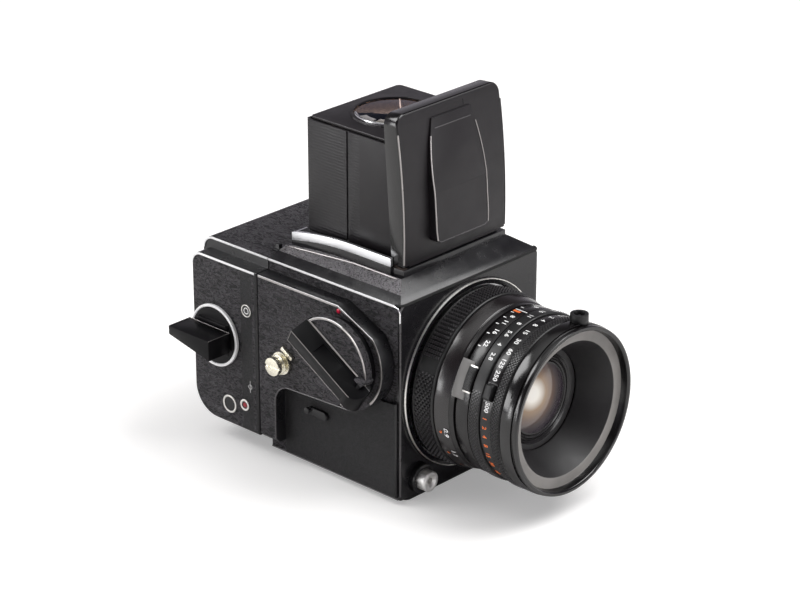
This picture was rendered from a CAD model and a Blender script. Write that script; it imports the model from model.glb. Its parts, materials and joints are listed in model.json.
import json
import math

import bmesh
import bpy
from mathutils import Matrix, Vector
from mathutils.bvhtree import BVHTree

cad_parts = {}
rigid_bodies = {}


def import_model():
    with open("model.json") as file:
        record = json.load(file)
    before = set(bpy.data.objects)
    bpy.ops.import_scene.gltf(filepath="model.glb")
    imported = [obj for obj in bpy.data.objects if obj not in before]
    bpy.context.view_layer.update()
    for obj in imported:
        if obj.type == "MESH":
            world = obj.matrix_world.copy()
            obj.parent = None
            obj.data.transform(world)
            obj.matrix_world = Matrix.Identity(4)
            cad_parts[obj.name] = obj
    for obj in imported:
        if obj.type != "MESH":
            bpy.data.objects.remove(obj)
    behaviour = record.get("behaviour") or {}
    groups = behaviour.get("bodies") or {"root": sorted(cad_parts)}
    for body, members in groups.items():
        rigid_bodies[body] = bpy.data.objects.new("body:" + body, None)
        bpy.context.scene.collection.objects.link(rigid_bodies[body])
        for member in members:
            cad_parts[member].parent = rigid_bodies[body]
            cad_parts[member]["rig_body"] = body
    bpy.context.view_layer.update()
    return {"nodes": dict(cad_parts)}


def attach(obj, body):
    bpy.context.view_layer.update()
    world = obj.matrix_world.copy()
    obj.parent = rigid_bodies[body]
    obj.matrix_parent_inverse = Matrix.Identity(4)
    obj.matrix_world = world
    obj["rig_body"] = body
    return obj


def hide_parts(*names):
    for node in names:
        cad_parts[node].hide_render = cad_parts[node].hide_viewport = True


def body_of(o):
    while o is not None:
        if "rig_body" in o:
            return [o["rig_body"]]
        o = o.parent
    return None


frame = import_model()

# Places in millimetres; y runs from the lens (negative) to the magazine, z upward
MM = 0.001
FRONT = -36.0               # y of the body's front face, where forward counts from
HALF = 43.25                # half the body's width
AXIS = 47.7                 # z of the lens axis
CASE = -50.6                # x of the winding side's face
TRIM_X = -43.3              # x of the bright line's bent end on the body
SEAM = 91.3                 # z of the joint between body and top frame
STRIP_FOOT, STRIP_FRONT = 94.0, -33.0       # where the grained strips of the top frame start
WALL_RIB_START = 1.0        # y where the ribs of the hood's side walls start
LEAN = math.radians(31)     # the crank handle's lean
ACROSS = Vector((0.0, -math.sin(LEAN), math.cos(LEAN)))
ALONG = Vector((0.0, math.cos(LEAN), math.sin(LEAN)))
HUB = Vector((0.0, -10.0, 62.2))
MAGNIFIER = (0.0, 7.2)
LUG = (26.0, 49.4)
FILM_MARK = (46.4, 31.2)
SETTING_DOT = (-7.6, 83.4)
HOOD_FOOT, PANEL_FOOT = 103.5, 111.0        # z where the lines on lid and shield start
HEART = (-6.5, FRONT - 38.4, AXIS + 4.7)    # the middle of the front glass's coloured rings


# Materials
class Finish:
    """A principled material whose colour, roughness and relief come from nodes."""

    def __init__(self, name, base, rough=0.4, metal=0.0, **sockets):
        self.mat = bpy.data.materials.new(name)
        self.mat.use_nodes = True
        self.tree = self.mat.node_tree
        self.bsdf = self.tree.nodes["Principled BSDF"]
        self.bsdf.inputs["Base Color"].default_value = (*base, 1)
        self.bsdf.inputs["Roughness"].default_value = rough
        self.bsdf.inputs["Metallic"].default_value = metal
        for key, amount in sockets.items():
            self.bsdf.inputs[key.replace("_", " ")].default_value = amount
        self.coords = self.add("ShaderNodeTexCoord")
        self.height = None

    def add(self, kind, **inputs):
        node = self.tree.nodes.new(kind)
        for key, amount in inputs.items():
            node.inputs[key.replace("_", " ")].default_value = amount
        return node

    def join(self, out, into):
        self.tree.links.new(out, into)

    def spread(self, stretch):
        node = self.add("ShaderNodeMapping", Scale=stretch)
        self.join(self.coords.outputs["Object"], node.inputs["Vector"])
        return node.outputs["Vector"]

    def noise(self, scale, detail=4.0, stretch=(1, 1, 1), distortion=0.0):
        node = self.add("ShaderNodeTexNoise", Scale=scale, Detail=detail, Distortion=distortion)
        self.join(self.spread(stretch), node.inputs["Vector"])
        return node.outputs["Fac"]

    def cells(self, scale, wobble, stretch=(1, 1, 1)):
        """Cell distance with the cells' outlines shaken."""
        shake = self.add("ShaderNodeTexNoise", Scale=scale * 0.7, Detail=2.0)
        place = self.spread(stretch)
        self.join(place, shake.inputs["Vector"])
        mix = self.add("ShaderNodeMix")
        mix.data_type = "VECTOR"
        mix.inputs["Factor"].default_value = wobble
        self.join(place, mix.inputs["A"])
        self.join(shake.outputs["Color"], mix.inputs["B"])
        node = self.add("ShaderNodeTexVoronoi", Scale=scale)
        self.join(mix.outputs["Result"], node.inputs["Vector"])
        return node.outputs["Distance"]

    def away(self, centre):
        """The distance of a point from a place in millimetres, in metres."""
        node = self.add("ShaderNodeVectorMath")
        node.operation = "DISTANCE"
        node.inputs[1].default_value = [v * MM for v in centre]
        self.join(self.coords.outputs["Object"], node.inputs[0])
        return node.outputs["Value"]

    def ramp(self, source, stops):
        node = self.add("ShaderNodeValToRGB")
        spots = node.color_ramp.elements
        while len(spots) < len(stops):
            spots.new(1.0)
        for spot, (position, colour) in zip(spots, stops):
            spot.position = position
            spot.color = (*colour, 1)
        self.join(source, node.inputs["Fac"])
        return node.outputs["Color"]

    def tint(self, source, low, high, start=0.3, end=0.7):
        colour = self.ramp(source, [(start, low), (end, high)])
        self.join(colour, self.bsdf.inputs["Base Color"])
        return self

    def gloss(self, source, low, high, start=0.3, end=0.7):
        grey = self.add("ShaderNodeMapRange", From_Min=start, From_Max=end, To_Min=low,
                        To_Max=high)
        self.join(source, grey.inputs["Value"])
        self.join(grey.outputs["Result"], self.bsdf.inputs["Roughness"])
        return self

    def relief(self, source, distance, strength=1.0):
        bump = self.add("ShaderNodeBump", Strength=strength, Distance=distance)
        self.join(source, bump.inputs["Height"])
        if self.height is not None:
            self.join(self.height, bump.inputs["Normal"])
        self.height = bump.outputs["Normal"]
        self.join(self.height, self.bsdf.inputs["Normal"])
        return self


def leather(name, base, light, deep, scale, stretch=(1, 1, 1)):
    """Pressed covering: narrow light wrinkles over small irregular cells."""
    made = Finish(name, base, 0.5)
    folds = made.noise(scale, 2.0, stretch, 1.4)
    wrinkle = made.ramp(folds, [(0.36, (0, 0, 0)), (0.47, (1, 1, 1)),
                                (0.5, (1, 1, 1)), (0.6, (0.1, 0.1, 0.1))])
    made.tint(wrinkle, base, light, 0.1, 0.95)
    made.gloss(wrinkle, 0.58, 0.4, 0.0, 1.0)
    made.relief(wrinkle, deep)
    made.relief(made.cells(scale * 1.9, 0.02, stretch), -deep * 0.6, 0.9)
    return made.mat


def paint(name, base, rough, spread=0.06, fleck=2600.0, **sockets):
    """Baked enamel: a fine orange-peel and a slightly uneven gloss."""
    made = Finish(name, base, rough, **sockets)
    made.tint(made.noise(60.0, 5.0), tuple(c * 0.84 for c in base),
              tuple(min(c * 1.2, 1) for c in base))
    made.gloss(made.noise(150.0, 6.0), max(rough - spread, 0.04), rough + spread)
    made.relief(made.noise(fleck, 2.0), 0.00002, 0.5)
    return made.mat


def metal(name, base, rough, streak=(1, 1, 1)):
    """Bare or plated metal with fine streaks."""
    made = Finish(name, base, rough, 1.0)
    lines = made.noise(900.0, 5.0, streak)
    made.tint(lines, tuple(c * 0.92 for c in base), base)
    made.gloss(lines, rough * 0.8, rough * 1.25)
    made.relief(lines, 0.00001, 0.5)
    return made.mat


def glassy(name, tint, thickness):
    """Coated optical glass: a thin film gives the reflections their colour."""
    made = Finish(name, tint, 0.0, 0.0, Transmission_Weight=1.0, IOR=1.6,
                  Thin_Film_Thickness=thickness, Thin_Film_IOR=1.38)
    made.tint(made.noise(12.0, 1.0), tuple(c * 0.97 for c in tint), tint)
    return made.mat


def coated(name, base, rough, **sockets):
    """A smooth coated surface without orange-peel."""
    made = Finish(name, base, rough, **sockets)
    made.tint(made.noise(14.0, 1.0), tuple(c * 0.9 for c in base),
              tuple(c * 1.1 for c in base))
    made.gloss(made.noise(40.0, 2.0), rough * 0.8, rough * 1.25)
    return made.mat


def inner_element(name):
    """A deep coated element: white heart, amber and violet-grey rings, dark rim."""
    made = Finish(name, (0.1, 0.08, 0.08), 0.12, 0.0, Coat_Weight=0.6)
    rings = [(0.0, (0.97, 0.95, 0.9)), (0.0066, (0.95, 0.9, 0.8)),
             (0.0076, (0.34, 0.23, 0.14)), (0.0106, (0.27, 0.17, 0.11)),
             (0.0126, (0.11, 0.088, 0.088)), (0.0168, (0.1, 0.086, 0.088)),
             (0.0188, (0.06, 0.048, 0.06)), (0.026, (0.025, 0.021, 0.028))]
    made.join(made.ramp(made.away(HEART), rings), made.bsdf.inputs["Base Color"])
    return made.mat


def ribbed(name, base, rough, pitch):
    """Enamel over fine level lines."""
    made = Finish(name, base, rough)
    made.tint(made.noise(60.0, 5.0), tuple(c * 0.85 for c in base),
              tuple(c * 1.2 for c in base))
    # The wave texture turns 20 radians in each unit of its scale
    wave = made.add("ShaderNodeTexWave", Scale=2 * math.pi / (pitch * MM) / 20.0,
                    Distortion=1.2, Detail=1.0)
    wave.bands_direction = "Z"
    made.join(made.spread((1, 1, 1)), wave.inputs["Vector"])
    made.relief(wave.outputs["Fac"], 0.00006, 0.9)
    made.gloss(made.noise(700.0, 4.0, (0.3, 0.3, 3)), rough - 0.08, rough + 0.08)
    return made.mat


ENAMEL = paint("black_enamel", (0.01, 0.0095, 0.011), 0.24)
CASE_PAINT = paint("case_enamel", (0.009, 0.0088, 0.01), 0.3)
HANDLE_PAINT = paint("handle_black", (0.0035, 0.0033, 0.004), 0.36, Specular_IOR_Level=0.16)
HOOD_PAINT = paint("hood_enamel", (0.0098, 0.0082, 0.0096), 0.42, fleck=3400.0,
                   Specular_IOR_Level=0.4)
HOOD_RIB = ribbed("hood_ribbed", (0.0078, 0.0066, 0.008), 0.46, 1.35)
LEATHER = leather("leatherette", (0.003, 0.0027, 0.0036), (0.085, 0.078, 0.088), 0.0008,
                  560.0, (1, 0.42, 1.1))
FINE_GRAIN = leather("fine_grain", (0.007, 0.0068, 0.008), (0.024, 0.023, 0.025), 0.0002,
                     1300.0)
STRIP = leather("strip_grain", (0.07, 0.064, 0.07), (0.42, 0.4, 0.42), 0.0005, 1100.0,
                (1, 0.7, 1))
LENS_BLACK = paint("lens_black", (0.008, 0.007, 0.0075), 0.22, 0.04)
TAPER = paint("taper_anodised", (0.008, 0.0056, 0.006), 0.22, 0.04, Specular_IOR_Level=0.8)
LENS_MATT = paint("lens_matt", (0.006, 0.006, 0.0064), 0.42)
GRIP = paint("grip_rubber", (0.034, 0.0315, 0.034), 0.34)
KNURL = paint("knurl_metal", (0.035, 0.033, 0.034), 0.3, Specular_IOR_Level=0.8)
RIM_BLACK = paint("rim_black", (0.0035, 0.003, 0.0032), 0.16, 0.03, Specular_IOR_Level=0.7)
BAFFLE = paint("baffle_black", (0.012, 0.011, 0.012), 0.5)
NAME_RING = paint("name_ring_grey", (0.2, 0.19, 0.18), 0.4)
PATCH = paint("patch_grey", (0.16, 0.155, 0.15), 0.4)
WORN = metal("worn_edge", (0.42, 0.4, 0.39), 0.34)
EDGE = paint("edge_sheen", (0.075, 0.07, 0.073), 0.3)
SATIN = metal("satin_chrome", (0.96, 0.95, 0.93), 0.46)
CHROME = metal("chrome", (0.9, 0.9, 0.91), 0.2)
TRIM = coated("bright_trim", (0.93, 0.93, 0.93), 0.3, metal=0.1)
WHITE_METAL = metal("white_metal", (0.9, 0.88, 0.84), 0.34)
RAIL = metal("rail_aluminium", (0.9, 0.91, 0.93), 0.32, (1, 0.06, 1))
BRASSY = metal("lug_brass", (0.94, 0.9, 0.76), 0.26)
STEEL = metal("steel", (0.52, 0.52, 0.53), 0.3, (0.1, 1, 1))
FLOCK = paint("flock_black", (0.008, 0.008, 0.008), 0.85)
ALUMINIUM = metal("spool_aluminium", (0.45, 0.45, 0.46), 0.38, (0.05, 1, 1))
SILVER = metal("mirror_silver", (0.92, 0.92, 0.93), 0.03)
WHITE_MARK = paint("white_mark", (0.86, 0.86, 0.84), 0.5)
ORANGE_MARK = paint("orange_mark", (0.9, 0.17, 0.03), 0.5)
RED_DOT = paint("red_dot", (0.8, 0.02, 0.07), 0.16, Coat_Weight=0.8)
WINDOW = paint("window_black", (0.012, 0.012, 0.013), 0.1)
WINDOW_RED = paint("window_red", (0.3, 0.012, 0.02), 0.15)
REAR_GLASS = glassy("rear_coating", (0.97, 0.95, 0.93), 190.0)
INNER = inner_element("inner_coating")
AMBER_GLASS = glassy("magnifier_glass", (0.86, 0.66, 0.6), 150.0)
GROUND = Finish("ground_glass", (0.82, 0.84, 0.84), 0.5, 0.0, Transmission_Weight=0.5)
GROUND = GROUND.relief(GROUND.noise(6000.0, 2.0), 0.00002).mat

# The finish of each node of one finish; the others are black enamel
BY_NODE = {
    "magazine_trim": TRIM, "release_button": SATIN, "wind_ring": TRIM, "crank_rest": BRASSY,
    "finder_rails": RAIL, "magazine_catch": CASE_PAINT, "lens_mount": STEEL,
    "tripod_socket": STEEL, "handle_pin": HANDLE_PAINT, "sync_socket": LENS_MATT,
    "iris_blades": STEEL, "dark_slide": STEEL, "strap_lugs": BRASSY, "mirror_glass": SILVER,
    "mirror_frame": FLOCK, "upper_flap": FLOCK, "lower_flap": FLOCK,
    "focusing_screen": GROUND, "upper_spool": ALUMINIUM, "lower_spool": ALUMINIUM,
    "rear_glass": REAR_GLASS, "magnifier_lens": AMBER_GLASS, "lid_panel": HOOD_PAINT,
    "rear_wall": HOOD_RIB, "magnifier_plate": HOOD_PAINT, "rear_cell": LENS_MATT,
    "right_cover": LEATHER, "crank_plate": LEATHER, "crank_handle": HANDLE_PAINT,
    "crank_disc": HANDLE_PAINT, "wind_key": HANDLE_PAINT, "wind_disc": HANDLE_PAINT,
    "coupling_lever": LENS_MATT, "shutter_housing": LENS_BLACK, "base_plate": CASE_PAINT,
    "pre_release_lever": CASE_PAINT,
}


# Refined copies of the rigid nodes
def body(node):
    return body_of(frame["nodes"][node])[0]


def finish_mesh(name, me, mats, rides, replaced=(), smooth=32.0, pick=None):
    """The object of a mesh: shaded, with its materials, on its body."""
    for face in me.polygons:
        face.use_smooth = True
    me.set_sharp_from_angle(angle=math.radians(smooth))
    made = bpy.data.objects.new(name, me)
    for mat in mats:
        me.materials.append(mat)
    bpy.context.scene.collection.objects.link(made)
    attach(made, rides)
    if replaced:
        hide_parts(*replaced)
    if pick:
        for face in me.polygons:
            face.material_index = pick(face.center / MM, face.normal)
    return made


def bevelled(me, width, segments=2, angle=28.0):
    """The mesh with its edges rounded, as a new mesh."""
    helper = bpy.data.objects.new("helper", me)
    bpy.context.scene.collection.objects.link(helper)
    bevel = helper.modifiers.new("edge", "BEVEL")
    bevel.width = width * MM
    bevel.segments = segments
    bevel.limit_method = "ANGLE"
    bevel.angle_limit = math.radians(angle)
    bevel.use_clamp_overlap = True
    graph = bpy.context.evaluated_depsgraph_get()
    made = bpy.data.meshes.new_from_object(helper.evaluated_get(graph))
    bpy.data.objects.remove(helper)
    return made


def cad_mesh(node, cuts=()):
    """A copy of a node's mesh with its flat faces joined, then parted where a finish ends."""
    bm = bmesh.new()
    bm.from_mesh(frame["nodes"][node].data)
    bmesh.ops.remove_doubles(bm, verts=bm.verts, dist=4e-6)
    bmesh.ops.dissolve_limit(bm, angle_limit=math.radians(0.6), verts=bm.verts,
                             edges=bm.edges)
    for place, normal in cuts:
        bmesh.ops.bisect_plane(bm, geom=list(bm.verts) + list(bm.edges) + list(bm.faces),
                               dist=1e-7, plane_co=Vector(place) * MM, plane_no=normal)
    me = bpy.data.meshes.new(node + "_skin")
    bm.to_mesh(me)
    bm.free()
    me.materials.clear()
    return me


def round_corner(me, corner, radius):
    """Takes an upright corner at (x, y) off a mesh, in four flats along a round."""
    bm = bmesh.new()
    bm.from_mesh(me)
    sx, sy = math.copysign(1, corner[0]), math.copysign(1, corner[1])
    for degrees in (15, 35, 55, 75):
        turn = math.radians(degrees)
        way = Vector((sx * math.cos(turn), sy * math.sin(turn), 0))
        place = Vector((corner[0] - sx * radius, corner[1] - sy * radius, 0)) + way * radius
        made = bmesh.ops.bisect_plane(bm, geom=list(bm.verts) + list(bm.edges) + list(bm.faces),
                                      dist=1e-7, plane_co=place * MM, plane_no=way,
                                      clear_outer=True)
        rim = [part for part in made["geom_cut"] if isinstance(part, bmesh.types.BMEdge)]
        bmesh.ops.edgenet_fill(bm, edges=rim)
    bmesh.ops.recalc_face_normals(bm, faces=bm.faces)
    bm.to_mesh(me)
    bm.free()


def refine(node, width, mats=None, pick=None, segments=2, cuts=(), corners=(), round_to=0.0):
    """A finer copy of a node: rounded edges, and materials picked by face."""
    me = cad_mesh(node, cuts)
    for corner in corners:
        round_corner(me, corner, round_to)
    if width:
        me = bevelled(me, width, segments)
    me.name = node + "_skin"
    mats = mats or [BY_NODE.get(node, ENAMEL)]
    return finish_mesh(node + "_skin", me, mats, body(node), (node,), pick=pick)


def hit(node, start, way):
    """Where a ray through millimetres meets a node's surface."""
    me = frame["nodes"][node].data
    tree = BVHTree.FromPolygons([vert.co for vert in me.vertices],
                                [face.vertices for face in me.polygons])
    spot = tree.ray_cast(Vector(start) * MM, Vector(way))[0]
    if spot is None:
        raise ValueError("nothing of %s lies there" % node)
    return spot / MM


def lens_point(forward, radius, turn):
    """A point round the lens; turn counts from the top towards the crank side."""
    return Vector((-radius * math.sin(turn), FRONT - forward,
                   AXIS + radius * math.cos(turn))) * MM


def side_point(centre):
    """Points round an axis along X through (y, z); forward counts towards -X."""
    return lambda forward, radius, turn: Vector((
        -forward, centre[0] + radius * math.sin(turn), centre[1] + radius * math.cos(turn))) * MM


def level_point(centre):
    """Points round an upright axis through (x, y); forward counts upward."""
    return lambda forward, radius, turn: Vector((
        centre[0] + radius * math.cos(turn), centre[1] + radius * math.sin(turn), forward)) * MM


def turned(name, profile, rides, mats, replaced=(), steps=160, width=0.18, pick=None,
           point=lens_point):
    """A body of revolution; the profile holds (forward, radius) in millimetres."""
    bm = bmesh.new()
    rings = []
    for step in range(steps):
        rings.append([bm.verts.new(point(f, r, 2 * math.pi * step / steps)) for f, r in profile])
    count = len(profile)
    for step in range(steps):
        here, ahead = rings[step], rings[(step + 1) % steps]
        for n in range(count):
            m = (n + 1) % count
            if profile[n][1] or profile[m][1]:
                bm.faces.new((here[n], here[m], ahead[m], ahead[n]))
    bmesh.ops.remove_doubles(bm, verts=bm.verts, dist=1e-7)
    bmesh.ops.dissolve_degenerate(bm, edges=bm.edges, dist=1e-8)
    bmesh.ops.recalc_face_normals(bm, faces=bm.faces)
    me = bpy.data.meshes.new(name)
    bm.to_mesh(me)
    bm.free()
    if width:
        me = bevelled(me, width, 2, 20.0)
        me.name = name
    return finish_mesh(name, me, mats, rides, replaced, pick=pick)


def knurl(name, near, far, base, proud, around, rows, rides, mat, arc=(0, 360),
          diamond=False):
    """Small raised pads round a ring: a grid of blocks, or crossing cuts that leave diamonds."""
    gap = 0.26
    bm = bmesh.new()
    pitch = 2 * math.pi / around
    tall = (far - near) / rows
    for row in range(rows):
        for n in range(around):
            turn = pitch * (n + 0.5 + (0.5 * (row % 2) if diamond else 0))
            if not arc[0] <= math.degrees(turn) % 360 <= arc[1]:
                continue
            mid = near + tall * (row + 0.5)
            if diamond:
                wide, high = pitch * (1 - gap) * 0.5, tall * (1 - gap)
                high = min(high, mid - near, far - mid) if row in (0, rows - 1) else high
                spots = [(0, -wide), (high, 0), (0, wide), (-high, 0)]
            else:
                wide, high = pitch * (1 - gap) * 0.5, tall * (1 - gap) * 0.5
                spots = [(-high, -wide), (-high, wide), (high, wide), (high, -wide)]
            foot = [bm.verts.new(lens_point(mid + f, base, turn + t)) for f, t in spots]
            head = [bm.verts.new(lens_point(mid + f * 0.5, base + proud, turn + t * 0.5))
                    for f, t in spots]
            bm.faces.new(head)
            for k in range(4):
                bm.faces.new((foot[k], foot[(k + 1) % 4], head[(k + 1) % 4], head[k]))
    bmesh.ops.recalc_face_normals(bm, faces=bm.faces)
    me = bpy.data.meshes.new(name)
    bm.to_mesh(me)
    bm.free()
    return finish_mesh(name, me, [mat], rides, smooth=20.0)


def ring_text(name, words, rides, mat, forward, radius, high):
    """Plain numbers bent round the lens: (text, angle from the top towards the crank side)."""
    lift = 0.03
    bm = bmesh.new()
    for text, degrees in words:
        curve = bpy.data.curves.new(name + "_text", "FONT")
        curve.body = text
        curve.align_x = "CENTER"
        curve.align_y = "CENTER"
        curve.size = high * 1.42
        curve.offset = 0.035 * high
        curve.space_character = 1.04
        helper = bpy.data.objects.new(name + "_text", curve)
        bpy.context.scene.collection.objects.link(helper)
        bpy.context.view_layer.update()
        flat = bpy.data.meshes.new_from_object(helper)
        bpy.data.objects.remove(helper)
        start = len(bm.verts)
        bm.from_mesh(flat)
        bm.verts.ensure_lookup_table()
        for vert in bm.verts[start:]:
            vert.co = lens_point(forward + vert.co.y, radius + lift,
                                 math.radians(degrees) + vert.co.x / radius)
    bmesh.ops.recalc_face_normals(bm, faces=bm.faces)
    me = bpy.data.meshes.new(name)
    bm.to_mesh(me)
    bm.free()
    return finish_mesh(name, me, [mat], rides)


def pad(name, near, far, first, last, low, high, rides, mat, width, point=lens_point):
    """A curved block between two angles in degrees and two radii, on the lens by default."""
    bm = bmesh.new()
    steps = max(int(abs(last - first) / 2), 1)
    slices = []
    for k in range(steps + 1):
        turn = math.radians(first + (last - first) * k / steps)
        slices.append([bm.verts.new(point(f, r, turn))
                       for f, r in ((near, low), (near, high), (far, high), (far, low))])
    for here, ahead in zip(slices, slices[1:]):
        for n in range(4):
            bm.faces.new((here[n], here[(n + 1) % 4], ahead[(n + 1) % 4], ahead[n]))
    bm.faces.new(slices[0])
    bm.faces.new(slices[-1][::-1])
    bmesh.ops.recalc_face_normals(bm, faces=bm.faces)
    me = bpy.data.meshes.new(name)
    bm.to_mesh(me)
    bm.free()
    if width:
        me = bevelled(me, width, 2)
    return finish_mesh(name, me, [mat], rides)


def tube(name, points, radius, rides, mat, closed=False):
    """A thin round line through points in millimetres."""
    curve = bpy.data.curves.new(name, "CURVE")
    curve.dimensions = "3D"
    run = curve.splines.new("POLY")
    run.points.add(len(points) - 1)
    for spot, place in zip(run.points, points):
        spot.co = (*[v * MM for v in place], 1)
    run.use_cyclic_u = closed
    curve.bevel_depth = radius * MM
    curve.bevel_resolution = 2
    curve.use_fill_caps = True
    helper = bpy.data.objects.new(name, curve)
    bpy.context.scene.collection.objects.link(helper)
    bpy.context.view_layer.update()
    me = bpy.data.meshes.new_from_object(helper)
    bpy.data.objects.remove(helper)
    me.name = name
    return finish_mesh(name, me, [mat], rides)


def edge_lines(name, node, keep, radius, mat):
    """Thin round lines along the sharp edges of a node that a test picks by ends and normals."""
    sharp = math.radians(22.0)
    bm = bmesh.new()
    bm.from_mesh(cad_mesh(node))
    bm.edges.index_update()
    left = {}
    for edge in bm.edges:
        if len(edge.link_faces) == 2 and edge.calc_face_angle(0.0) > sharp:
            ends = [vert.co / MM for vert in edge.verts]
            if keep(ends[0], ends[1], edge.link_faces[0].normal, edge.link_faces[1].normal):
                left[edge.index] = edge
    runs = []
    while left:
        run = list(left.popitem()[1].verts)
        for _ in range(2):
            ahead = True
            while ahead:
                ahead = next((edge for edge in run[-1].link_edges if edge.index in left),
                             None)
                if ahead:
                    del left[ahead.index]
                    run.append(ahead.other_vert(run[-1]))
            run.reverse()
        runs.append([vert.co / MM for vert in run])
    bm.free()
    if not runs:
        raise ValueError("no edge of %s is picked" % node)
    for n, run in enumerate(runs):
        tube("%s_%d" % (name, n), run, radius, body(node), mat)


def sides(first, second, one, other):
    """Whether two faces look two given ways, in either order."""
    return (one(first) and other(second)) or (one(second) and other(first))


def ring_points(centre, radius, first=0.0, last=360.0, steps=40, level=0.0, plane="side"):
    """Points of an arc on the winding side's face, or on a level plane."""
    spots = []
    for k in range(steps + 1):
        turn = math.radians(first + (last - first) * k / steps)
        a = centre[0] + radius * math.cos(turn)
        b = centre[1] + radius * math.sin(turn)
        spots.append((level, a, b) if plane == "side" else (a, b, level))
    return spots


# Camera body
def shell_faces(p, n):
    """Covering on the two sides, flock inside."""
    if abs(n.x) > 0.9 and abs(p.x) > 43:
        return 1
    return 2 if abs(p.x) < 36 and p.z > 4 and p.y > -34 and abs(n.z) < 0.98 else 0


def case_faces(p, n):
    """Covering on the raised face of the winding side, fine grain on the sunk one."""
    if n.x > -0.9:
        return 0
    return 1 if p.x < CASE + 0.6 else 2


STRIP_ENDS = (43.0, 44.4, 51.4)     # y of the magazine's narrow edge and its text strip


def magazine_faces(p, n):
    """Covering on the outer faces, fine grain on the narrow edge and the text strip."""
    if n.x < -0.9 and p.x < CASE + 0.6:
        return 2 if p.y < STRIP_ENDS[0] or STRIP_ENDS[1] < p.y < STRIP_ENDS[2] else 1
    outer = (n.z > 0.9 and p.z > 91.0) or (n.y > 0.9 and p.y > 81.0)
    return 1 if outer or (n.x > 0.9 and p.x > 43.0) else 0


def strip_faces(p, n):
    """The grained strips on the two side slopes of the top frame."""
    slope = 0.2 < abs(n.x) < 0.95 and n.z > 0.4
    return 1 if slope and p.z > STRIP_FOOT and abs(p.x) > 33.4 and p.y > STRIP_FRONT else 0


refine("body_shell", 0.25, [ENAMEL, LEATHER, FLOCK], shell_faces)
refine("front_plate", 0.55, segments=3, corners=[(HALF, FRONT)], round_to=1.5)
refine("top_frame", 0.4, [ENAMEL, STRIP], strip_faces,
       cuts=[((0, 0, STRIP_FOOT), (0, 0, 1)), ((0, STRIP_FRONT, 0), (0, 1, 0))],
       corners=[(HALF, FRONT), (-HALF, FRONT)], round_to=3.0)
refine("gear_case", 0.8, [CASE_PAINT, LEATHER, FINE_GRAIN], case_faces, 3)
refine("magazine_shell", 0.6, [CASE_PAINT, LEATHER, FINE_GRAIN], magazine_faces,
       cuts=[((0, y, 0), (0, 1, 0)) for y in STRIP_ENDS])
refine("lid", 0.35, [HOOD_PAINT, RIM_BLACK], lambda p, n: 1 if n.y > -0.6 else 0)
# How far the edges of the other nodes are rounded
PLAIN_EDGE = 0.2
EDGES = {"wind_key": 0.45, "crank_handle": 0.28, "strap_lugs": 0.35, "lid_panel": 0.4,
         "magazine_trim": 0.12, "handle_pin": 0.08, "wind_ring": 0.3, "upper_spool": 0.08,
         "lower_spool": 0.08, "mirror_glass": 0.08, "focusing_screen": 0.08,
         "iris_blades": 0.04, "magnifier_lens": 0.0, "rear_glass": 0.0}
for node in ("right_cover", "accessory_rail", "base_plate", "tripod_socket", "strap_lugs",
             "crank_rest", "crank_disc", "crank_plate", "release_collar",
             "pre_release_lever", "magazine_catch", "mirror_frame", "finder_base",
             "finder_rails", "rear_wall", "lid_panel", "film_insert", "insert_key",
             "wind_disc", "wind_key", "dark_slide", "coupling_lever", "crank_handle",
             "upper_flap", "lower_flap", "lens_mount", "release_button", "lens_lock",
             "sync_socket", "magnifier_plate", "magazine_trim", "handle_pin", "wind_ring",
             "upper_spool", "lower_spool", "mirror_glass", "focusing_screen", "iris_blades",
             "magnifier_lens", "rear_glass", "rear_cell", "shutter_housing"):
    refine(node, EDGES.get(node, PLAIN_EDGE))
chord = min(vert.co.dot(ACROSS) for vert in frame["nodes"]["crank_trim"].data.vertices) / MM
refine("crank_trim", 0.12, [TRIM, WORN],
       lambda p, n: 1 if p.dot(ACROSS) < chord + 0.9 or (p - HUB).dot(ALONG) < 4.0 else 0)
refine("body_trim", 0.12, [TRIM, WORN], lambda p, n: 1 if p.y < -20.0 and p.z < 78.0 else 0)
for node in ("left_wall", "right_wall"):
    refine(node, PLAIN_EDGE, [HOOD_PAINT, HOOD_RIB],
           lambda p, n: 1 if p.y > WALL_RIB_START and abs(n.x) > 0.9 else 0,
           cuts=[((0, WALL_RIB_START, 0), (0, 1, 0))])

# Windows and marks of the magazine
# Place (y, z), radius and width of each bright ring
WINDOWS = {"counter": ((59.4, 19.0), 4.2, 0.9), "status": ((49.9, 21.5), 2.7, 0.95),
           "emblem": ((47.7, 66.9), 2.9, 0.5)}
back_body = body("magazine_windows")
side_face = -CASE + 0.2
for name, (centre, radius, wide) in WINDOWS.items():
    hole = radius - wide
    turned(name + "_ring", [(side_face - 0.2, radius), (side_face + 0.3, radius),
                            (side_face + 0.3, hole), (side_face - 0.2, hole)],
           back_body, [WHITE_METAL], ("magazine_windows",) if name == "counter" else (),
           64, 0.12, point=side_point(centre))
    turned(name + "_pane", [(side_face - 0.2, 0.0), (side_face, 0.0),
                            (side_face, hole + 0.05), (side_face - 0.2, hole + 0.05)],
           back_body, [WINDOW], (), 48, 0.0, point=side_point(centre))
turned("status_red", [(side_face, 0.0), (side_face + 0.12, 0.0), (side_face + 0.08, 1.1),
                      (side_face, 1.15)],
       back_body, [WINDOW_RED], steps=32, width=0.0, point=side_point(WINDOWS["status"][0]))
mark_level = CASE - 0.02
tube("emblem_ring", ring_points(WINDOWS["emblem"][0], 1.3, level=-side_face - 0.02, steps=31),
     0.22, back_body, WHITE_MARK, True)
tube("film_plane_ring", ring_points(FILM_MARK, 1.0, level=mark_level, steps=23), 0.13,
     back_body, WHITE_MARK, True)
tube("film_plane_line", [(mark_level, FILM_MARK[0], 28.4), (mark_level, FILM_MARK[0], 34.0)],
     0.12, back_body, WHITE_MARK)
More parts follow.
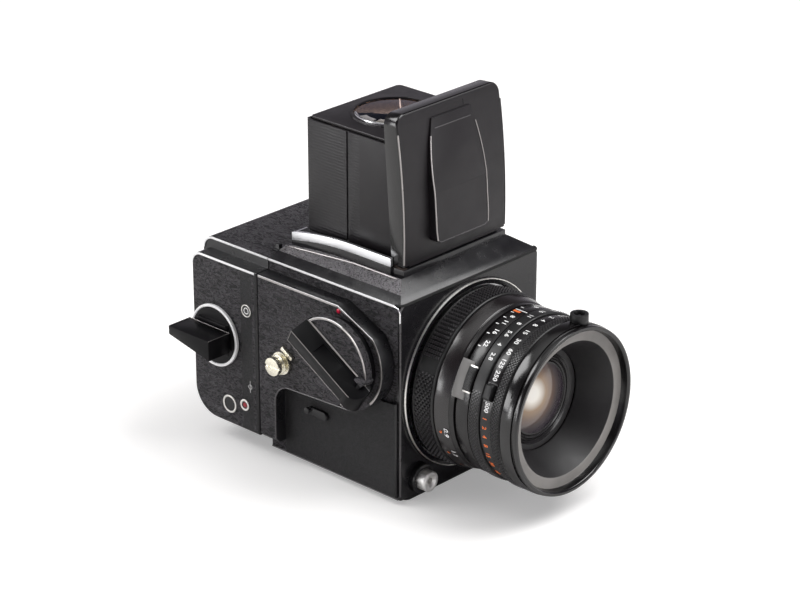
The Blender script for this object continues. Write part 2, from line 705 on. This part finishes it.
turned("setting_dot", [(-CASE - 0.3, 0.0), (-CASE + 0.5, 0.0), (-CASE + 0.4, 0.75),
                       (-CASE, 1.1), (-CASE - 0.3, 1.1)],
       "camera_body", [RED_DOT], steps=28, width=0.0, point=side_point(SETTING_DOT))


# Lens: profiles hold (forward, radius)
def off_axis(p):
    """How far forward and how far from the lens axis a place lies."""
    return FRONT - p.y, math.hypot(p.x, p.z - AXIS)


def bezel_faces(p, n):
    """Bright metal on the bezel's outer lip only."""
    forward, radius = off_axis(p)
    return 1 if radius > 41.02 and forward > 0.9 else 0


turned("lens_bezel_ring", [(0.0, 39.2), (0.0, 41.8), (0.3, 41.8), (0.5, 41.6), (1.3, 41.5),
                           (1.3, 41.1), (0.9, 41.0), (0.9, 39.2)],
       "camera_body", [ENAMEL, WHITE_METAL], ("lens_bezel",), width=0.08, pick=bezel_faces)
turned("barrel_ring", [(-4.6, 28.4), (-4.6, 31.0), (0.3, 31.0), (0.3, 36.6), (1.6, 36.6),
                       (1.6, 36.1), (13.9, 36.1), (13.9, 38.2), (14.6, 38.2), (20.6, 36.9),
                       (20.9, 36.4), (23.2, 36.4), (23.2, 32.0), (2.0, 32.0), (2.0, 28.4)],
       "lens", [TAPER, LENS_BLACK], ("lens_barrel",),
       pick=lambda p, n: 1 if FRONT - p.y > 20.7 else 0)
turned("focus_core", [(1.9, 36.2), (1.9, 38.4), (2.4, 38.8), (3.0, 38.8), (3.2, 38.3),
                      (12.4, 38.3), (12.6, 38.8), (13.2, 38.8), (13.6, 38.4), (13.6, 36.2)],
       "focus", [LENS_MATT], ("focusing_ring",), width=0.1)
for name, first, last in (("focus_ribs_top", 0, 60), ("focus_ribs_far", 152, 360)):
    knurl(name, 3.3, 12.3, 38.2, 0.9, 128, 7, "focus", GRIP, (first, last))
knurl("focus_diamonds", 3.3, 12.3, 38.2, 0.9, 96, 9, "focus", GRIP, (68, 146), True)
turned("speed_core", [(31.4, 34.6), (31.4, 36.5), (31.8, 36.8), (36.8, 36.8), (37.2, 36.5),
                      (37.2, 34.6)], "speed", [LENS_MATT], ("speed_ring",), width=0.1)
knurl("speed_grip", 31.9, 36.7, 36.7, 0.4, 150, 6, "speed", KNURL, (68, 330), True)
turned("aperture_core", [(43.6, 34.6), (43.6, 36.4), (44.0, 36.8), (47.9, 36.8),
                         (48.3, 36.4), (48.3, 34.6)],
       "aperture", [LENS_MATT], ("aperture_ring",), width=0.1)
knurl("aperture_grip", 43.9, 48.0, 36.7, 0.6, 150, 5, "aperture", KNURL, (0, 360), True)


def rim_faces(p, n):
    """Grey on the ring that faces forward, matt black on the cone behind it."""
    forward, radius = off_axis(p)
    if radius < 34.4 and forward < 54.5:
        return 1 if forward > 54.0 and radius > 29.7 else 2
    return 0


turned("rim_ring", [(48.6, 27.92), (48.6, 36.8), (49.4, 37.2), (54.8, 37.2), (54.8, 36.4),
                    (56.2, 36.4), (56.2, 37.0), (57.8, 36.6), (57.8, 35.5), (57.3, 34.9),
                    (54.2, 34.3), (54.2, 31.2), (54.2, 29.8), (53.6, 29.4), (39.8, 22.4),
                    (39.2, 22.4), (39.2, 24.6), (42.6, 24.6), (47.6, 27.92)],
       "front_group", [RIM_BLACK, NAME_RING, BAFFLE], ("front_bayonet",), width=0.14,
       pick=rim_faces)


def dome(name, face, rear, radius, bulge, hollow, rides, mat, replaced):
    """A lens element, curved outward on both sides; face and rear are its rims."""
    profile = []
    for edge, curve, way in ((face, bulge, 1), (rear, hollow, -1)):
        rim = math.sqrt(curve * curve - radius * radius)
        radii = [radius * k / 12 for k in range(13)][::way]
        profile += [(edge + way * (math.sqrt(curve * curve - r * r) - rim), r)
                    for r in radii]
    return turned(name, profile, rides, [mat], replaced, 96, 0.0)


dome("front_element", 38.6, 37.2, 15.3, 40.0, 300.0, "front_group", INNER, ("front_glass",))
turned("cell_rings", [(39.0, 22.38), (38.6, 20.2), (38.2, 19.7), (38.6, 19.3), (38.0, 18.7),
                      (38.3, 18.3), (38.3, 17.7), (38.6, 17.2), (38.2, 16.6), (38.7, 16.1),
                      (38.7, 15.25), (36.95, 15.25), (36.95, 22.38)],
       "front_group", [LENS_BLACK, BAFFLE], steps=120, width=0.06,
       pick=lambda p, n: 1 if off_axis(p)[1] > 20.0 else 0)
pad("rim_notch", 51.6, 52.5, 60.0, 64.5, 36.9, 37.24, "front_group", FLOCK, 0.08)
pad("grey_patch", 21.6, 28.2, 51.0, 77.0, 36.45, 36.74, "front_group", PATCH, 0.1)
pad("tab_frame", 26.8, 31.0, 53.4, 71.6, 36.2, 37.2, "front_group", WHITE_METAL, 0.3)
pad("tab_face", 26.9, 31.05, 54.6, 70.4, 36.2, 37.7, "front_group", LENS_MATT, 0.25)
for n in range(7):
    pad("tab_rib_%d" % n, 27.8, 30.6, 57.0 + 1.75 * n, 57.8 + 1.75 * n, 37.5, 38.0,
        "front_group", LENS_MATT, 0.1)

# Scales of plain numbers in the usual series
ring_text("depth_scale", [("22", 37), ("16", 26.5), ("11", 17), ("8", 9.5), ("8", -14),
                          ("11", -22), ("16", -31), ("22", -41)],
          "front_group", WHITE_MARK, 28.3, 36.6, 2.1)
for n, degrees in enumerate((40, 29.5, 20, 12.5, 5, -5, -17, -25, -34, -44)):
    pad("depth_tick_%d" % n, 25.0, 26.4, degrees - 0.35, degrees + 0.35, 36.4, 36.63,
        "front_group", WHITE_MARK, 0.0)
pad("index_line", 24.9, 31.0, -0.45, 0.45, 36.4, 36.64, "front_group", WHITE_MARK, 0.0)
pad("index_mark", 25.0, 28.6, 1.4, 3.4, 36.4, 36.64, "front_group", ORANGE_MARK, 0.0)
ring_text("aperture_scale", [("2.8", 44), ("4", 34.5), ("5.6", 25), ("8", 14), ("11", 3),
                             ("16", -9), ("22", -21)], "speed", WHITE_MARK, 34.3, 36.8, 2.0)
ring_text("time_scale", [("1", -16), ("2", -7), ("4", 1), ("8", 9), ("15", 18), ("30", 27.5),
                         ("60", 36.5), ("125", 45.5), ("250", 54.5), ("500", 76)],
          "front_group", WHITE_MARK, 40.3, 36.2, 2.1)
ring_text("long_times", [("1", 84), ("2", 90.5), ("4", 97), ("8", 104), ("15", 112),
                         ("30", 121), ("60", 131)],
          "front_group", ORANGE_MARK, 40.0, 36.2, 2.0)
ring_text("feet_scale", [("3", 105), ("4", 124), ("5", 142), ("7", 162), ("10", 184),
                         ("20", 208)], "lens", ORANGE_MARK, 15.7, 37.9, 2.5)
ring_text("metre_scale", [("0.9", 105), ("1.2", 124), ("1.5", 142), ("2", 162), ("3", 184),
                          ("6", 208)], "lens", WHITE_MARK, 19.0, 37.4, 2.5)

# Lug and magnifier
tube("lug_line", ring_points(LUG, 4.35, level=CASE - 3.2, steps=35), 0.22, body("strap_lugs"),
     BRASSY, True)
hood_body = body("magnifier_plate")
tube("magnifier_spring", ring_points(MAGNIFIER, 17.2, 140, 240, 30, 154.4, "level"), 0.62,
     hood_body, CHROME)
for name, first, last, inner, mat in (("claw_wide", 158, 186, 13.6, WHITE_METAL),
                                      ("claw_slim", 192, 206, 12.6, BRASSY),
                                      ("claw_end", 212, 228, 14.8, WHITE_METAL)):
    pad("magnifier_" + name, 154.3, 154.8, first, last, inner, 17.3, hood_body, mat, 0.14,
        level_point(MAGNIFIER))


# Lines on the lid and its shield
def on_front(node, x, z):
    """A place on the side of a plate that faces forward."""
    spot = hit(node, (x, -60.0, z), (0, 1, 0))
    return (spot.x, spot.y - 0.02, spot.z)


def edge_of(node, z, side, inset):
    """A place on a plate's side edge at a height, a little inside its front corner."""
    face = hit(node, (0.0, -60.0, z), (0, 1, 0))
    rim = hit(node, (side * 60.0, face.y + 1.0, z), (-side, 0, 0))
    return (rim.x - side * inset, face.y + inset, z)


lid_body = body("lid_panel")
for side, name, inset, wide, mat in ((-1, "left", 0.15, 0.34, WORN),
                                     (1, "right", 0.2, 0.2, EDGE)):
    tube("lid_line_" + name,
         [edge_of("lid", HOOD_FOOT + 5.6 * k, side, inset) for k in range(11)], wide,
         lid_body, mat)
for side, name, wide in ((-1, "left", 0.34), (1, "right", 0.3)):
    tube("shield_line_" + name,
         [edge_of("lid_panel", PANEL_FOOT + 4.4 * k, side, 0.1) for k in range(11)], wide,
         lid_body, WORN)
low_rim = [edge_of("lid_panel", PANEL_FOOT, side, 0.1) for side in (-1, 1)]
low_run = [on_front("lid_panel", x, 110.0) for x in (-13.5, -9, 0, 9, 13.5)]
tube("shield_line_low", [low_rim[0]] + low_run + [low_rim[1]], 0.26, lid_body, EDGE)
tube("shield_seam", [on_front("lid_panel", x, 157.6) for x in (-11.0, -5.5, 0.0, 5.5, 11.0)],
     0.22, lid_body, EDGE)
tube("shield_tick", [on_front("lid", 8.5, z) for z in (162.6, 163.6, 165.0)], 0.14, lid_body,
     FLOCK)


# Lines along the sharp edges that catch the light
def across_hub(place):
    return (place - HUB).dot(ACROSS)


edge_lines("handle_edge", "crank_handle",
           lambda a, b, m, n: sides(m, n, lambda v: v.x < -0.9, lambda v: v.x > -0.8)
           and abs((a - b).normalized().x) < 0.2, 0.17, WORN)
edge_lines("handle_foot", "crank_handle",
           lambda a, b, m, n: min(a.x, b.x) > -59.5 and across_hub(a) > 7.0
           and across_hub(b) > 7.0 and (a - b).length > 8.0, 0.15, EDGE)
edge_lines("key_edge", "wind_key",
           lambda a, b, m, n: sides(m, n, lambda v: v.z > 0.6, lambda v: v.z < 0.4)
           and max(a.x, b.x) > -65.3, 0.17, WORN)
edge_lines("plate_edge", "magnifier_plate",
           lambda a, b, m, n: sides(m, n, lambda v: v.z > 0.9, lambda v: v.x < -0.9), 0.2, EDGE)
edge_lines("pocket_edge", "gear_case",
           lambda a, b, m, n: max(a.x, b.x) < -50.5 and max(a.z, b.z) < 41.0
           and min(a.z, b.z) > 11.3 and max(a.y, b.y) < 31.1 and min(a.y, b.y) > -16.0,
           0.36, EDGE)
edge_lines("base_edge", "body_shell",
           lambda a, b, m, n: max(a.x, b.x) < -43.0 and max(a.z, b.z) < 2.4, 0.3, EDGE)


def quarter(step, first=0):
    """Sine and cosine of the angles from a first one up to a right angle."""
    return [(math.sin(math.radians(a)), math.cos(math.radians(a)))
            for a in range(first, 91, step)]


tube("frame_gap", [(-43.2 + 3 * (1 - c), -33.1 - 3 * s, SEAM) for s, c in quarter(15)]
     + [(40.2 + 3 * s, -33.1 - 3 * c, SEAM) for s, c in quarter(15)], 0.6, "camera_body",
     FLOCK)
corner = [(-43.15 + 3 - 3 * c, FRONT + 0.3, 88.1 + 3 * s) for s, c in quarter(10, 10)]
tube("front_edge", [(-43.0, FRONT + 0.4, 4.0), (-43.0, FRONT + 0.4, 88.1)] + corner
     + [(39.0, FRONT + 0.4, 90.9)], 0.42, "camera_body", EDGE)
turn_down = [(TRIM_X, -33.0 - 2.7 * s, 87.9 + 2.7 * c) for s, c in quarter(10)]
tube("trim_end", turn_down + [(TRIM_X, -35.7, 84.0)], 0.4, "camera_body", CHROME)
crown_run = [(-33.7 - max(y, 0) * 0.07, y) for y in range(-25, 37, 4)] + [(-39.0, 38.4)]
tube("crown_line", [hit("top_frame", (x, y, 110.0), (0, 0, -1)) for x, y in crown_run], 0.3,
     "camera_body", WORN)


# Stage
def floor_material():
    """White paper that shows plain white to the camera where no shadow falls."""
    mat = bpy.data.materials.new("paper")
    mat.use_nodes = True
    tree = mat.node_tree
    bsdf = tree.nodes["Principled BSDF"]
    bsdf.inputs["Base Color"].default_value = (0.8, 0.79, 0.78, 1)
    bsdf.inputs["Roughness"].default_value = 0.9
    bsdf.inputs["Specular IOR Level"].default_value = 0.0
    bsdf.inputs["Emission Color"].default_value = (1, 1, 1, 1)
    path = tree.nodes.new("ShaderNodeLightPath")
    scale = tree.nodes.new("ShaderNodeMath")
    scale.operation = "MULTIPLY"
    scale.inputs[1].default_value = 0.3
    tree.links.new(path.outputs["Is Camera Ray"], scale.inputs[0])
    tree.links.new(scale.outputs[0], bsdf.inputs["Emission Strength"])
    return mat


bm = bmesh.new()
bmesh.ops.create_grid(bm, x_segments=1, y_segments=1, size=4.0)
me = bpy.data.meshes.new("floor")
bm.to_mesh(me)
bm.free()
floor = bpy.data.objects.new("floor", me)
floor.location.z = -0.0002
me.materials.append(floor_material())
bpy.context.scene.collection.objects.link(floor)

# The room: pale below, dim overhead, white where the camera sees it
world = bpy.data.worlds.new("studio")
bpy.context.scene.world = world
world.use_nodes = True
tree = world.node_tree
background = tree.nodes["Background"]
path = tree.nodes.new("ShaderNodeLightPath")
seen = tree.nodes.new("ShaderNodeMath")
seen.operation = "MAXIMUM"
tree.links.new(path.outputs["Is Camera Ray"], seen.inputs[0])
tree.links.new(path.outputs["Is Transmission Ray"], seen.inputs[1])
coords = tree.nodes.new("ShaderNodeTexCoord")
split = tree.nodes.new("ShaderNodeSeparateXYZ")
tree.links.new(coords.outputs["Generated"], split.inputs[0])
room = tree.nodes.new("ShaderNodeValToRGB")
spots = room.color_ramp.elements
for spot, (position, grey) in zip([spots[0], spots[1], spots.new(0.5), spots.new(0.75)],
                                  [(0.0, 0.52), (0.2, 0.36), (0.42, 0.13), (0.7, 0.04)]):
    spot.position = position
    spot.color = (grey, grey * 0.95, grey * 1.05, 1)
tree.links.new(split.outputs["Z"], room.inputs["Fac"])
mixed = tree.nodes.new("ShaderNodeMix")
mixed.data_type = "RGBA"
mixed.inputs["B"].default_value = (1, 1, 1, 1)
tree.links.new(room.outputs["Color"], mixed.inputs["A"])
tree.links.new(seen.outputs[0], mixed.inputs["Factor"])
tree.links.new(mixed.outputs["Result"], background.inputs["Color"])


def lamp(name, place, aim, size, power):
    light = bpy.data.lights.new(name, "AREA")
    light.shape = "RECTANGLE"
    light.size, light.size_y = size
    light.energy = power
    made = bpy.data.objects.new(name, light)
    made.location = place
    made.rotation_euler = (Vector(aim) - Vector(place)).to_track_quat("-Z", "Y").to_euler()
    bpy.context.scene.collection.objects.link(made)
    return made


lamp("top_softbox", (0.45, -0.55, 1.1), (0, 0, 0.08), (0.9, 0.9), 15.0)
lamp("back_softbox", (-0.55, 0.75, 1.0), (0, 0, 0.08), (0.6, 0.6), 7.0)
lamp("left_softbox", (-1.05, 0.75, 0.32), (0, 0, 0.06), (0.5, 0.4), 3.5)
lamp("left_strip", (-1.2, 0.4, 0.12), (0, -0.05, 0.05), (0.12, 0.3), 1.2)
lamp("front_softbox", (0.2, -1.3, 0.3), (0, -0.05, 0.06), (0.45, 0.45), 2.8)

camera = bpy.data.cameras.new("camera")
camera.sensor_width = 36.0
camera.lens = 126.3
view = bpy.data.objects.new("camera", camera)
view.location = (-0.8081, -0.7541, 0.5519)
aim = Vector((-0.0073, -0.0019, 0.0730)) - view.location
view.rotation_euler = aim.to_track_quat("-Z", "Y").to_euler()
bpy.context.scene.collection.objects.link(view)
bpy.context.scene.camera = view
bpy.context.scene.view_settings.view_transform = "Standard"
